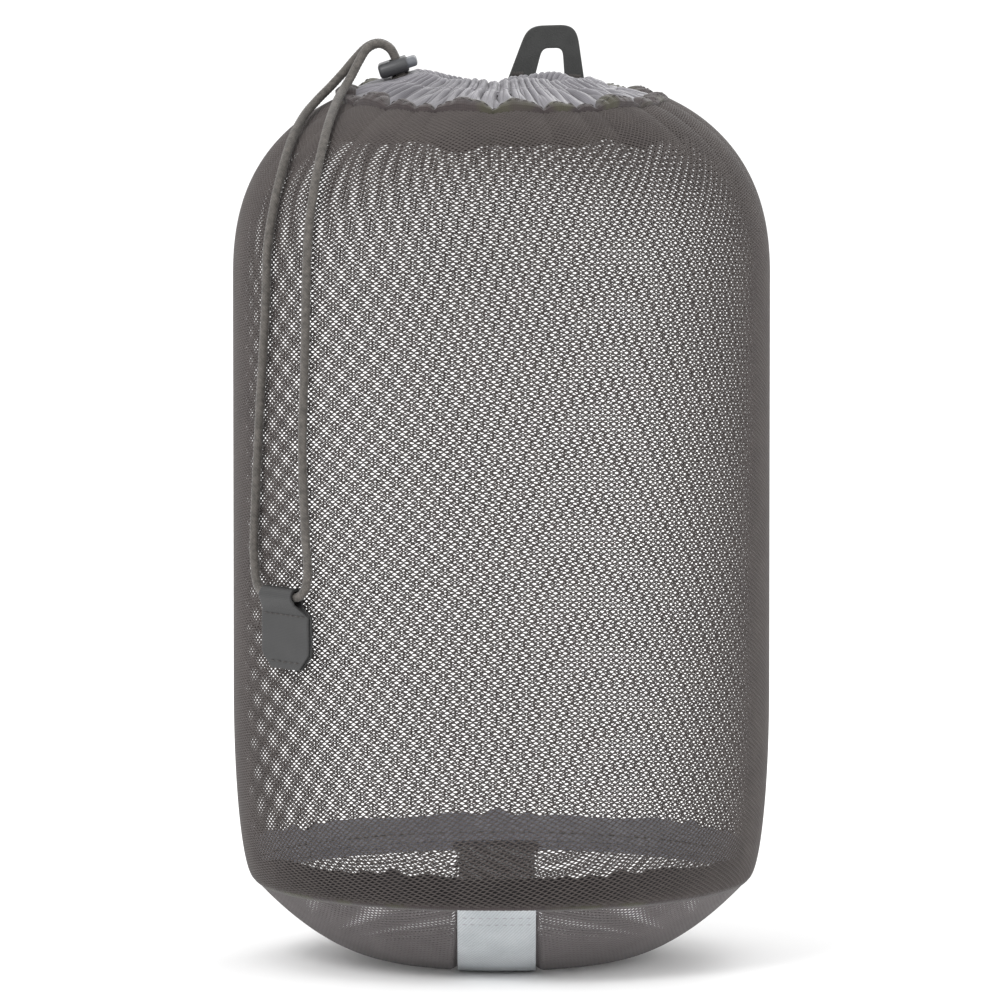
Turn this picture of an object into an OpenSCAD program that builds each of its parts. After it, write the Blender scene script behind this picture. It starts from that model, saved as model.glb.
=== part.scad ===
// Stuff sack: a round sack of see-through knitted mesh with a gathered nylon collar.
// Millimetres, +Z up, standing on its base. Origin at the centre of the patch it stands on.
// The front of the sack faces -Y.

/* [Sack] */
// Radius of the filled sack at its widest
body_r = 89.5; // [85:0.5:95]
// Height of the base seam above the ground
seam_z = 27; // [24:1:30]
// Radius of the base seam
seam_r = 82.5; // [80:0.5:84]
// Radius of the flattened patch that the sack stands on
patch_r = 35; // [30:1:40]
// Thickness of the knitted mesh with its relief
mesh_t = 0.8; // [0.6:0.1:1]
// Height at which the lower wall reaches its full radius
lower_z = 90; // [80:1:100]
// Height at which the shoulder starts to turn in
shoulder_z = 228; // [224:1:230]

/* [Collar and drawcord] */
// Radius of the channel's centre line
channel_r = 29.5; // [28:0.5:31]
// Height of the channel's centre line
channel_z = 293.4; // [292:0.2:295]
// Outer radius of the channel's section
channel_tube_r = 3; // [2.8:0.1:3.2]
// Radius of the collar's lower edge
collar_edge_r = 54; // [53:0.5:55]
// Diameter of the drawcord
cord_d = 3; // [2.5:0.1:3]

/* [Base strap and hang loop] */
// Width of the strap across the base
strap_w = 26; // [20:1:30]
// Thickness of the strap
strap_t = 1.2; // [1:0.1:1.4]
// Distance of the strap to the side of the axis
strap_x = -1.6; // [-3:0.2:3]
// Distance of the hang loop behind the axis of the sack
loop_y = 47.5; // [46:0.5:49]
// Thickness of the hang loop
loop_t = 1.4; // [1:0.1:1.6]

/* [Cord lock and tab] */
// Length of the lock's barrel
barrel_len = 9.8; // [9.8:0.1:10.6]
// Width of the lock's barrel
barrel_w = 12.4; // [12:0.2:14]
// Height of the lock's barrel
barrel_h = 5; // [5:0.1:6]
// Width of the cord tab
tab_w = 24.6; // [22:0.2:26]
// Height of the cord tab below its fold
tab_h = 24; // [20:1:28]
// Sideways shift of the tab below its fold
tab_shift = 3.2; // [0:0.2:3.4]

/* [Hidden] */
$fn = 96;

// Gap left between two pieces of cloth that lie against each other
lay_gap = 0.05;

// Shoulder of the sack: a superellipse from the straight wall to the collar
shoulder_in = 80;
shoulder_up = 67.2;
shoulder_n = 2.4;
mesh_top_a = 60;      // where the mesh stops, in degrees along the shoulder's curve
facing_low_a = 45;    // where the facing behind the mesh starts
// Lower wall: an ellipse from the straight wall down to the base seam
lower_end_a = 90;
// Base: a dish that rises with this power of the radius
dish_n = 1.9;

function dish_z(r) = r <= patch_r ? 0 : seam_z * pow((r - patch_r) / (seam_r - patch_r), dish_n);
function sq(v, n) = pow(v, 2 / n);
// Point of the shoulder at angle a, set in from the outer face by d
function shoulder(a, d) = [
    body_r - shoulder_in + (shoulder_in - d) * sq(cos(a), shoulder_n),
    shoulder_z + (shoulder_up - d) * sq(sin(a), shoulder_n)];
// Point of the lower wall at angle a, set in by d
function lower(a, d) = [
    seam_r + (body_r - seam_r - d) * cos(a),
    lower_z - (lower_z - seam_z - d) * sin(a)];
function shoulder_pts(a0, a1, d, step = 3) = [for (a = [a0:step:a1]) shoulder(a, d)];
function lower_pts(a0, a1, d, step = 6) = [for (a = [a0:step:a1]) lower(a, d)];
function reversed(v) = [for (i = [len(v) - 1:-1:0]) v[i]];
// The dish's outline from the axis out, lifted by h
function dish_pts(r1, h, step = 2) = concat([[0, h]],
    [for (r = [patch_r:step:r1]) [r, dish_z(r) + h]], [[r1, dish_z(r1) + h]]);

// Closed outline between two depths below the outer face of the wall
function wall_outline(low_a, top_a, d0, d1) = concat(
    reversed(lower_pts(0, low_a, d0)), shoulder_pts(1, top_a, d0),
    reversed(shoulder_pts(1, top_a, d1)), lower_pts(0, low_a, d1));
function dish_outline(r1, h0, h1) = concat(dish_pts(r1, h0), reversed(dish_pts(r1, h1)));

module wall(low_a, top_a, d0, d1) {
    rotate_extrude() polygon(wall_outline(low_a, top_a, d0, d1));
}
module dish(r1, h0, h1) {
    rotate_extrude() polygon(dish_outline(r1, h0, h1));
}

// A ring of stitches, each a short bar that leans by tilt from the horizontal plane.
// It leaves out the stitches between the two angles of each gap.
stitch_len = 3;
stitch_w = 0.6;
stitch_h = 0.4;
module stitch_ring(r, z, tilt, count, gaps = []) {
    for (i = [0:count - 1]) {
        a = (i + 0.5) * 360 / count;
        if (len([for (gap = gaps) if (a > gap[0] && a < gap[1]) gap]) == 0)
            rotate([0, 0, a]) translate([r, 0, z]) rotate([0, tilt, 0])
                translate([-stitch_w / 2, -stitch_len / 2, 0]) cube([stitch_w, stitch_len, stitch_h]);
    }
}

// ---- Mesh tube and base ----
mesh_color = [0.42, 0.40, 0.37];
module mesh_body() {
    color(mesh_color) wall(lower_end_a, mesh_top_a, 0, mesh_t);
}

// Base of the same mesh, lifted over the strap so that strap and mesh are flush underneath
base_r = seam_r - 0.05;
strap_gap = 0.3;
strap_lift = strap_t + strap_gap;
module strap_slot(grow, top) {
    translate([strap_x - strap_w / 2 - grow, -body_r, -1])
        cube([strap_w + 2 * grow, 2 * body_r, top + 1]);
}
module mesh_base() {
    color(mesh_color) union() {
        difference() {
            dish(base_r, 0, mesh_t);
            strap_slot(strap_gap, 2 * seam_z);
        }
        intersection() {
            dish(base_r, strap_lift, strap_lift + mesh_t);
            strap_slot(strap_gap + mesh_t, 2 * seam_z);
        }
        for (side = [-1, 1]) intersection() {
            dish(base_r, 0, strap_lift + mesh_t);
            translate([strap_x + side * (strap_w / 2 + strap_gap + mesh_t / 2) - mesh_t / 2, -body_r, -1])
                cube([mesh_t, 2 * body_r, 2 * seam_z]);
        }
    }
}

// ---- Seams on the inside ----
bind_color = [0.24, 0.22, 0.21];
bind_t = 1.2;
bind_w = 10;
bind_d = mesh_t + lay_gap;
side_seam_a = 12;
side_seam_low = 40;
side_seam_top = 262;
module side_seam_box(width, low, top) {
    rotate([0, 0, side_seam_a]) translate([seam_r / 2, -width / 2, low])
        cube([body_r, width, top - low]);
}
module side_seam_binding() {
    color(bind_color) intersection() {
        wall(66, 50, bind_d, bind_d + bind_t);
        side_seam_box(bind_w, side_seam_low, side_seam_top);
    }
}
// Lock-stitches down the middle of the side seam's binding
module side_seam_stitching() {
    pitch = 6;
    color(mesh_color) for (z = [side_seam_low + pitch:pitch:side_seam_top - pitch])
        intersection() {
            wall(66, 50, bind_d + bind_t + lay_gap, bind_d + bind_t + lay_gap + stitch_h);
            side_seam_box(stitch_w, z, z + stitch_len);
        }
}
// Folded tape round the base seam's allowance, turned up against the wall
module base_seam_binding() {
    color(bind_color) intersection() {
        wall(lower_end_a, 1, bind_d, bind_d + bind_t);
        cylinder(r = body_r, h = seam_z + 1.6 + bind_w);
    }
}
// Stitches through the binding, on its inner face
module base_seam_stitching() {
    depth = bind_d + bind_t + 2.5 * lay_gap;
    a = 69;
    lean = atan((body_r - seam_r - depth) * tan(a) / (lower_z - seam_z - depth));
    color(mesh_color) stitch_ring(lower(a, depth)[0], lower(a, depth)[1], lean - 90, 96);
}

// ---- Collar ----
collar_color = [0.72, 0.71, 0.74];
collar_t = 0.8;
cone_a = 18;
cone_top_r = channel_r + channel_tube_r * sin(cone_a);
cone_top_z = channel_z + channel_tube_r * cos(cone_a);
function cone_z(r) = cone_top_z - (r - cone_top_r) * tan(cone_a);

// Band of cloth behind the top of the mesh, where the two are sewn together
module collar_facing() {
    facing_t = 1;
    outline = concat(shoulder_pts(facing_low_a, mesh_top_a - 2, bind_d),
        reversed(shoulder_pts(facing_low_a, mesh_top_a - 2, bind_d + facing_t)));
    color(bind_color) rotate_extrude() polygon(outline);
}

// The drawcord's exit: an oval hole along the lock's cord hole
exit_w = 8;
exit_l = 4.2;
module oval(length_y, width_x, h) {
    linear_extrude(height = h) {
        square([width_x, length_y - width_x], center = true);
        for (s = [-1, 1]) translate([0, s * (length_y - width_x) / 2]) circle(d = width_x);
    }
}
// Gathered sleeve with its top folded into the cord's channel
module collar() {
    color(collar_color) difference() {
        union() {
            rotate_extrude() polygon([
                [cone_top_r, cone_top_z], [collar_edge_r, cone_z(collar_edge_r)],
                [collar_edge_r, cone_z(collar_edge_r) - collar_t],
                [cone_top_r, cone_top_z - collar_t / cos(cone_a)]]);
            rotate_extrude() translate([channel_r, channel_z]) circle(r = channel_tube_r);
        }
        rotate_extrude() translate([channel_r, channel_z]) circle(r = channel_tube_r - collar_t);
        in_lock() translate([0, 0, -7]) oval(exit_w, exit_l, 7);
    }
}
module collar_seam_stitching() {
    r = collar_edge_r - 2.5;
    color(bind_color) stitch_ring(r, cone_z(r) + lay_gap, cone_a, 64, [[177, 183], [59, 73]]);
}
module channel_stitching() {
    r = channel_r + channel_tube_r + 3.5;
    color(collar_color) stitch_ring(r, cone_z(r) + lay_gap, cone_a, 44, [[164, 196]]);
}
module cord_exit_buttonhole() {
    rim = 0.9;
    color(bind_color) in_lock() translate([0, 0, -lock_rise + lay_gap]) difference() {
        oval(exit_w + 2 * rim, exit_l + 2 * rim, stitch_h);
        translate([0, 0, -1]) oval(exit_w - 0.2, exit_l - 0.2, stitch_h + 2);
    }
}

// ---- Cord lock ----
// Its own frame: x along the barrel towards the plunger, z out of the collar through the cord
// hole, origin on the barrel's axis at the cord hole
lock_rise = barrel_h / 2 + 0.9;
hole_r = channel_r + 4;
lock_x = -hole_r - lock_rise * sin(cone_a);
lock_z = cone_z(hole_r) + lock_rise * cos(cone_a);
module in_lock() {
    translate([lock_x, 0, lock_z]) rotate([0, -cone_a, 0]) children();
}
lock_color = [0.12, 0.12, 0.13];
barrel_wall = 0.75;
barrel_back = 6.4;    // from the cord hole to the closed end
slot_low = -2.1;      // the barrel's cord slot, along the barrel
slot_high = 1.6;
slot_y = 7.2;
plunger_gap = 0.1;
press = 1.8;
plunger_out = 3.3;    // how far the plunger stands out at rest

// A bar of oval section along x, from x0 to x1
module oval_bar(x0, x1, width, height) {
    translate([x0, 0, 0]) rotate([90, 0, 90]) linear_extrude(height = x1 - x0) {
        square([width - height, height], center = true);
        for (s = [-1, 1]) translate([s * (width - height) / 2, 0]) circle(d = height);
    }
}
module cord_lock_barrel() {
    color(lock_color) in_lock() difference() {
        oval_bar(-barrel_back, barrel_len - barrel_back, barrel_w, barrel_h);
        oval_bar(barrel_wall - barrel_back, barrel_len, barrel_w - 2 * barrel_wall,
            barrel_h - 2 * barrel_wall);
        translate([slot_low, -slot_y / 2, -barrel_h]) cube([slot_high - slot_low, slot_y, 2 * barrel_h]);
    }
}
plunger_w = barrel_w - 2 * barrel_wall - 2 * plunger_gap;
plunger_h = barrel_h - 2 * barrel_wall - 2 * plunger_gap;
plunger_in = -2.9;    // inner end of the plunger at rest
plunger_slot_low = -1.8;
module cord_lock_plunger() {
    color([0.30, 0.32, 0.35]) in_lock() difference() {
        oval_bar(plunger_in, barrel_len - barrel_back + plunger_out, plunger_w, plunger_h);
        translate([plunger_slot_low, -slot_y / 2, -barrel_h])
            cube([slot_high + press - plunger_slot_low, slot_y, 2 * barrel_h]);
    }
}
// Two turns of wire against the closed end, drawn at the length they have when pressed
module cord_lock_spring() {
    wire = 0.4;
    coil_r = 1.1;
    color("silver") in_lock() for (turn = [0, 1])
        translate([barrel_wall - barrel_back + (turn + 0.5) * (wire + lay_gap), 0, 0])
            rotate([0, 90, 0]) rotate_extrude() translate([coil_r, 0]) circle(d = wire, $fn = 24);
}

// ---- Drawcord ----
cord_color = [0.33, 0.32, 0.27];
loop_gap_a = 9;       // half the angle of the channel left open at the exit
module drawcord_loop() {
    color(cord_color) rotate([0, 0, 180 + loop_gap_a]) rotate_extrude(angle = 360 - 2 * loop_gap_a)
        translate([channel_r, channel_z]) circle(d = cord_d);
}
// Route of the free cord: out of the exit, through the lock, down the front left of the sack,
// round through the tab and back up to the lock
CORD_PTS = [
    [-33.2, 1.7, 294.6], [-34.4, 1.7, 298.2], [-35.6, 1.7, 301.9], [-37.4, 1.7, 304.6],
    [-40.8, 1.6, 306.0], [-44.6, 1.0, 304.8], [-48.5, 0.0, 301.0], [-52.5, -2.0, 296.4],
    [-56.8, -5.0, 291.9], [-61.4, -9.5, 287.5], [-65.7, -17.1, 282.7], [-69.5, -28.9, 275.9],
    [-72.6, -40.3, 266.1], [-75.2, -46.1, 254.7], [-77.2, -48.5, 241.2], [-77.8, -48.9, 222.0],
    [-79.6, -45.6, 192.0], [-81.0, -43.0, 165.0], [-81.8, -41.4, 146.0], [-81.7, -42.6, 138.0],
    [-81.0, -45.5, 131.6], [-79.6, -48.8, 128.7], [-77.2, -52.3, 127.8], [-72.6, -58.0, 127.8],
    [-68.0, -63.8, 127.8], [-65.8, -66.8, 129.0], [-64.2, -68.4, 132.4], [-63.8, -67.7, 139.0],
    [-64.6, -66.0, 150.0], [-65.5, -64.6, 177.0], [-64.6, -65.6, 210.0], [-63.8, -65.6, 242.2],
    [-62.2, -61.7, 258.4], [-59.9, -52.9, 271.1], [-57.3, -39.7, 281.4], [-54.8, -25.0, 287.8],
    [-52.6, -14.5, 291.4], [-50.0, -9.0, 295.4], [-47.4, -5.4, 300.2], [-44.6, -3.2, 304.4],
    [-40.8, -2.0, 306.0], [-37.4, -1.7, 304.6], [-35.6, -1.7, 301.9], [-34.4, -1.7, 298.2],
    [-33.2, -1.7, 294.6]];
CORD_SIDES = 8;
SWEEP_REF = [0.7, 0.6, 0.3];
function unit(v) = v / norm(v);
function at(v, i) = v[max(0, min(len(v) - 1, i))];
// Point between route points i and i + 1, on a curve through both
function spline(v, i, t) = 0.5 * (2 * v[i] + (at(v, i + 1) - at(v, i - 1)) * t
    + (2 * at(v, i - 1) - 5 * v[i] + 4 * at(v, i + 1) - at(v, i + 2)) * t * t
    + (3 * v[i] - at(v, i - 1) - 3 * at(v, i + 1) + at(v, i + 2)) * t * t * t);
// Rings on each stretch: two on the long ones, one on the short ones at the bends
function rings(v, i) = norm(v[i + 1] - v[i]) > 12 ? 2 : 1;
function swept_path(v) = concat(
    [for (i = [0:len(v) - 2]) for (k = [0:rings(v, i) - 1]) spline(v, i, k / rings(v, i))],
    [v[len(v) - 1]]);
module tube(v, d, sides) {
    n = len(v);
    points = [for (i = [0:n - 1]) let (
        along = unit(at(v, i + 1) - at(v, i - 1)),
        side = unit(cross(along, SWEEP_REF)),
        up = cross(along, side))
        for (k = [0:sides - 1]) v[i] + d / 2 * (side * cos(360 * k / sides) + up * sin(360 * k / sides))];
    walls = [for (i = [0:n - 2]) for (k = [0:sides - 1]) for (half = [0, 1]) let (
        here = i * sides + k,
        beside = i * sides + (k + 1) % sides)
        half == 0 ? [here, beside, beside + sides] : [here, beside + sides, here + sides]];
    ends = [[for (k = [sides - 1:-1:0]) k], [for (k = [0:sides - 1]) (n - 1) * sides + k]];
    polyhedron(points, concat(walls, ends), convexity = 6);
}
module drawcord_tail() {
    color(cord_color) tube(swept_path(CORD_PTS), cord_d, CORD_SIDES);
}

// ---- Cord tab ----
// Its own frame: x along the cord in the fold, y towards the sack, origin on the cord's axis
tab_at = [-72.6, -58.0, 127.8];
tab_turn = -51.4;
tab_fold_r = 3;
tab_fold_w = 17;
tab_bore = cord_d + 1;
tab_t = 2.4;
tab_color = [0.16, 0.18, 0.21];
module in_tab() {
    translate(tab_at) rotate([0, 0, tab_turn]) children();
}
// One strip folded over the cord, its two layers sewn together below
module cord_tab() {
    shoulder_drop = 5.5;
    corner = 5;
    left = tab_shift - tab_w / 2;
    right = tab_shift + tab_w / 2;
    outline = [
        [-tab_fold_w / 2, 0], [tab_fold_w / 2, 0], [right, -shoulder_drop],
        [right, corner - tab_h], [right - corner, -tab_h],
        [left + corner, -tab_h], [left, corner - tab_h], [left, -shoulder_drop]];
    color(tab_color) in_tab() difference() {
        union() {
            translate([0, tab_t / 2, 0]) rotate([90, 0, 0]) linear_extrude(height = tab_t) polygon(outline);
            rotate([0, 90, 0]) cylinder(r = tab_fold_r, h = tab_fold_w, center = true);
        }
        rotate([0, 90, 0]) cylinder(d = tab_bore, h = 2 * right, center = true);
    }
}
module cord_tab_stitching() {
    pitch = 3.4;
    row_z = -6;
    color(cord_color) in_tab() for (i = [-2.5:1:2.5], face = [-1, 1])
        translate([i * pitch - 1.2, face > 0 ? tab_t / 2 : -tab_t / 2 - stitch_h, row_z])
            cube([2.4, stitch_h, stitch_w]);
}

// ---- Hang loop ----
loop_color = [0.24, 0.25, 0.25];
loop_foot_z = 286;    // the strip is drawn from here up, then cut off at the collar
loop_hinge_z = 294.2;
loop_top_z = 307;
loop_right_x = 27.6;
fold_gap = 0.4;       // between the rounded fold and the sewn ends below it
// Outline seen from the front, and the opening in it
loop_outer = [[1.8, loop_foot_z], [7.4, 304.8], [9.4, loop_top_z], [22.8, loop_top_z], [25.2, 304.8],
    [loop_right_x, loop_foot_z]];
loop_inner = [[9.6, 285], [13.2, 299], [14.4, 300.4], [19.6, 300.4], [20.4, 299], [21.6, 285]];
module loop_strip() {
    translate([0, loop_y + loop_t / 2, 0]) rotate([90, 0, 0]) linear_extrude(height = loop_t)
        difference() {
            polygon(loop_outer);
            polygon(loop_inner);
        }
}
// A slab round the strip between two heights
module loop_slab(low, top) {
    translate([0, loop_y - loop_t, low]) cube([loop_right_x, 2 * loop_t, top - low]);
}
// The part that turns, with its lower edge rounded about the line it folds on
module hang_loop() {
    color(loop_color) intersection() {
        loop_strip();
        union() {
            loop_slab(loop_hinge_z, loop_top_z);
            translate([0, loop_y, loop_hinge_z]) rotate([0, 90, 0])
                cylinder(d = loop_t, h = loop_right_x);
        }
    }
}
module under_collar() {
    reach = collar_edge_r + 8;
    rotate_extrude() polygon([
        [0, 280], [reach, 280], [reach, cone_z(reach) + lay_gap],
        [cone_top_r, cone_top_z + lay_gap], [0, cone_top_z + lay_gap]]);
}
module hang_loop_ends() {
    color(loop_color) difference() {
        intersection() {
            loop_strip();
            loop_slab(loop_foot_z, loop_hinge_z - loop_t / 2 - fold_gap);
        }
        under_collar();
    }
}
// Dense stitching over each end of the loop, on both faces
module hang_loop_bartacks() {
    tack_w = 4;
    tack_t = 0.5;
    tack_low = 289.6;
    tack_top = 292.4;
    color(bind_color) difference() {
        for (x = [3.4, 22.6], face = [-1, 1])
            translate([x, loop_y + face * (loop_t / 2 + lay_gap) - (face < 0 ? tack_t : 0), tack_low])
                cube([tack_w, tack_t, tack_top - tack_low]);
        under_collar();
    }
}

// ---- Base strap ----
strap_r = base_r - 1;
module base_strap() {
    color([0.80, 0.81, 0.84]) intersection() {
        dish(strap_r, 0, strap_t);
        strap_slot(0, 2 * seam_z);
    }
}
// Two rows of stitches across each end, let into the strap's outer face
module base_strap_stitching() {
    color(bind_color) for (end = [-1, 1], row = [2.4, 5], i = [-3:3]) {
        r = strap_r - row;
        slope = atan((dish_z(r + 0.5) - dish_z(r - 0.5)));
        translate([strap_x + i * 3.4, end * r, dish_z(r)]) rotate([end * slope, 0, 0])
            translate([-1.2, -stitch_w / 2, -stitch_h - 0.1]) cube([2.4, stitch_w, stitch_h]);
    }
}

mesh_body();
mesh_base();
side_seam_binding();
side_seam_stitching();
base_seam_binding();
base_seam_stitching();
collar_facing();
collar();
collar_seam_stitching();
channel_stitching();
cord_exit_buttonhole();
drawcord_loop();
drawcord_tail();
cord_lock_barrel();
cord_lock_plunger();
cord_lock_spring();
cord_tab();
cord_tab_stitching();
hang_loop();
hang_loop_ends();
hang_loop_bartacks();
base_strap();
base_strap_stitching();
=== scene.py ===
"""Looks of the stuff sack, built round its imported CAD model. Metres, +Z up, front towards -Y."""

import math

import bpy
import numpy as np
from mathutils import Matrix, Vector


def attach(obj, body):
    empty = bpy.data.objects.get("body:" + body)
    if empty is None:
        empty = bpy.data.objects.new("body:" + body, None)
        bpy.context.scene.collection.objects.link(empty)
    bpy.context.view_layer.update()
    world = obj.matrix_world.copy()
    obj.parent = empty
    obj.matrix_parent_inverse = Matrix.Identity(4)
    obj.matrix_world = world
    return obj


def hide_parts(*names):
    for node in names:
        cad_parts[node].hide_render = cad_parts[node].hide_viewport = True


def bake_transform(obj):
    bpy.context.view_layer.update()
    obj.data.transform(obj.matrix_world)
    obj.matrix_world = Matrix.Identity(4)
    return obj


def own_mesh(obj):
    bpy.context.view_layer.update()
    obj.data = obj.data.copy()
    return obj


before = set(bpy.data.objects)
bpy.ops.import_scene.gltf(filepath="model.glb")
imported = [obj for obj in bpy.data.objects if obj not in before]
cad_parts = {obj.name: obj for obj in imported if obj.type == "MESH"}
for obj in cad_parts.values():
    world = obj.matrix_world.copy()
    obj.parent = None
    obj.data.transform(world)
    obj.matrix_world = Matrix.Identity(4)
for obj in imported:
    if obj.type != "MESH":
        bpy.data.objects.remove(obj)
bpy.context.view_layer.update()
MM = 0.001
TAU = 2 * math.pi

# ---- Camera ----
VIEW_W = 0.33333      # width of what the camera sees at the sack, in metres
TARGET = Vector((-0.0005, 0, 0.1534))
DISTANCE = 5.0
ELEVATION = math.radians(6)
camera_data = bpy.data.cameras.new("camera")
camera_data.sensor_width = 36
camera_data.lens = 36 * DISTANCE / VIEW_W
camera_data.clip_end = 200
camera = bpy.data.objects.new("camera", camera_data)
bpy.context.scene.collection.objects.link(camera)
camera.location = TARGET + DISTANCE * Vector((0, -math.cos(ELEVATION), math.sin(ELEVATION)))
camera.rotation_euler = (math.pi / 2 - ELEVATION, 0, 0)
bpy.context.scene.camera = camera
bpy.context.scene.view_settings.view_transform = "Standard"

# ---- Sizes repeated from the CAD, in millimetres ----
BODY_R, SEAM_R, SEAM_Z, PATCH_R, DISH_N = 89.5, 82.5, 27.0, 35.0, 1.9
LOWER_Z, SHOULDER_Z, SHOULDER_IN, SHOULDER_UP, SHOULDER_N = 90.0, 228.0, 80.0, 67.2, 2.4
MESH_TOP_A, FACING_LOW_A = 60.0, 45.0
CHANNEL_R, CHANNEL_Z, TUBE_R, CONE_A = 29.5, 293.4, 3.0, math.radians(18)
CONE_R0 = CHANNEL_R + TUBE_R * math.sin(CONE_A)
CONE_Z0 = CHANNEL_Z + TUBE_R * math.cos(CONE_A)
STRAP_W, STRAP_T, STRAP_R, STRAP_X = 26.0, 1.2, 81.45, -1.6
LOOP_Y, LOOP_T, LOOP_HINGE_Z = 47.5, 1.4, 294.2
SIDE_SEAM_A = math.radians(12)
LOW_POINTS, HIGH_POINTS = 200, 260      # of the wall's outline, below and above the start of the shoulder


# ---- Small tools ----
def smoothstep(x, a, b):
    t = np.clip((np.asarray(x, float) - a) / (b - a), 0, 1)
    return t * t * (3 - 2 * t)


def hill(theta, centre_deg, width_deg):
    """1 at the centre angle, falling to 0 a few widths away, all in one turn."""
    off = (np.degrees(theta) - centre_deg + 180) % 360 - 180
    return np.exp(-(off / width_deg) ** 2)


def wobble(theta, seed, low=3, high=11):
    """A smooth irregular wave round the sack, within about -1 to 1, the same each run."""
    total = 0
    for n in range(low, high):
        total = total + np.sin(n * theta + seed * 1.7 + n * n * 0.9) / (high - low) ** 0.5
    return total


def polar(theta, r, z):
    """Points in mm at those angles and radii round the sack's axis."""
    return np.stack([r * np.cos(theta), r * np.sin(theta), z], -1)


def unit(v):
    return v / np.maximum(np.linalg.norm(v, axis=-1, keepdims=True), 1e-12)


def lengths(path):
    """The length along a path up to each of its points."""
    return np.concatenate([[0], np.cumsum(np.linalg.norm(np.diff(path, axis=0), axis=1))])


def dish_z(r):
    return SEAM_Z * (np.maximum(r - PATCH_R, 0) / (SEAM_R - PATCH_R)) ** DISH_N


def cone_z(r):
    return CONE_Z0 - (r - CONE_R0) * math.tan(CONE_A)


def wall_profile():
    """Points (r, z) up the outside of the mesh tube, its outward normals, and the length up to each."""
    a = np.radians(np.linspace(90, 0, LOW_POINTS))
    low = np.stack([SEAM_R + (BODY_R - SEAM_R) * np.cos(a), LOWER_Z - (LOWER_Z - SEAM_Z) * np.sin(a)], 1)
    a = np.radians(np.linspace(0, MESH_TOP_A, HIGH_POINTS))
    e = 2 / SHOULDER_N
    high = np.stack([BODY_R - SHOULDER_IN + SHOULDER_IN * np.cos(a) ** e,
                     SHOULDER_Z + SHOULDER_UP * np.sin(a) ** e], 1)
    p = np.concatenate([low, high])
    t = unit(np.gradient(p, axis=0))
    n = np.stack([t[:, 1], -t[:, 0]], 1)
    return p, n, lengths(p)


WALL_P, WALL_N, WALL_S = wall_profile()
WALL_LEN = WALL_S[-1]


def cusp_angles(count=25):
    """Where the gathered hem is pinched, in degrees: uneven steps round the mouth."""
    k = np.arange(count)
    steps = 1 + 0.42 * np.sin(k * 2.399 + 0.6) + 0.18 * np.sin(k * 5.1)
    return np.concatenate([[0], np.cumsum(steps)]) / steps.sum() * 360 - 93


CUSPS = cusp_angles()


def lobe(theta):
    """0 at each pinch of the hem and up to 1 between two, more where they are far apart."""
    d = (np.degrees(theta) - CUSPS[0]) % 360 + CUSPS[0]
    k = np.clip(np.searchsorted(CUSPS, d, side="right") - 1, 0, len(CUSPS) - 2)
    width = CUSPS[k + 1] - CUSPS[k]
    t = np.clip((d - CUSPS[k]) / width, 0, 1)
    return np.sin(np.pi * t) ** 0.7 * np.clip(width / 17, 0.45, 1.1)


def pucker(theta, s):
    """How far the gathers near the hem push the mesh out, in mm."""
    return 1.1 * smoothstep(s, WALL_LEN - 62, WALL_LEN) * (lobe(theta) - 0.45)


def wall_point(theta, s, depth):
    """The point at that angle and length up the mesh tube, set in by depth mm. Returns mm."""
    r = np.interp(s, WALL_S, WALL_P[:, 0])
    z = np.interp(s, WALL_S, WALL_P[:, 1])
    nr = np.interp(s, WALL_S, WALL_N[:, 0])
    nz = np.interp(s, WALL_S, WALL_N[:, 1])
    out = pucker(theta, s) - depth
    return polar(theta, r + nr * out, z + nz * out)


def make(name, verts_mm, faces, mat, body="sack", uv=None):
    """A smooth mesh object from points in mm and an array of faces, or a list of such arrays."""
    groups = faces if isinstance(faces, list) else [faces]
    flat = np.concatenate([g.reshape(-1) for g in groups]).astype(np.int32)
    sizes = np.concatenate([np.full(len(g), g.shape[1]) for g in groups])
    mesh = bpy.data.meshes.new(name)
    mesh.vertices.add(len(verts_mm))
    mesh.vertices.foreach_set("co", (np.asarray(verts_mm) * MM).astype(np.float32).ravel())
    mesh.loops.add(len(flat))
    mesh.loops.foreach_set("vertex_index", flat)
    mesh.polygons.add(len(sizes))
    mesh.polygons.foreach_set("loop_start", np.concatenate([[0], np.cumsum(sizes)[:-1]]).astype(np.int32))
    mesh.polygons.foreach_set("use_smooth", np.ones(len(sizes), bool))
    mesh.update(calc_edges=True)
    if uv is not None:
        layer = mesh.uv_layers.new(name="cloth")
        layer.data.foreach_set("uv", np.asarray(uv, np.float32).ravel())
    mesh.validate()
    mesh.materials.append(mat)
    ob = bpy.data.objects.new(name, mesh)
    bpy.context.scene.collection.objects.link(ob)
    if body:
        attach(ob, body)
    return ob


def add_bevel(ob, width, segments, sharper_than):
    """Rounds the edges that turn by more degrees than that."""
    soft = ob.modifiers.new("soft", "BEVEL")
    soft.width, soft.segments = width * MM, segments
    soft.limit_method, soft.angle_limit = "ANGLE", math.radians(sharper_than)


def apply_modifiers(ob):
    """The object's mesh as its modifiers leave it."""
    bpy.context.view_layer.update()
    done = bpy.data.meshes.new_from_object(ob.evaluated_get(bpy.context.evaluated_depsgraph_get()))
    ob.modifiers.clear()
    ob.data = done


def grid_faces(rows, cols, closed):
    j, i = np.meshgrid(np.arange(rows - 1), np.arange(cols if closed else cols - 1), indexing="ij")
    i2 = (i + 1) % cols
    return np.stack([j * cols + i, j * cols + i2, (j + 1) * cols + i2, (j + 1) * cols + i], -1).reshape(-1, 4)


def end_caps(rows, cols):
    """Two faces that close the ends of a grid whose rows are rings."""
    return np.stack([np.arange(cols)[::-1], (rows - 1) * cols + np.arange(cols)])


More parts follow.
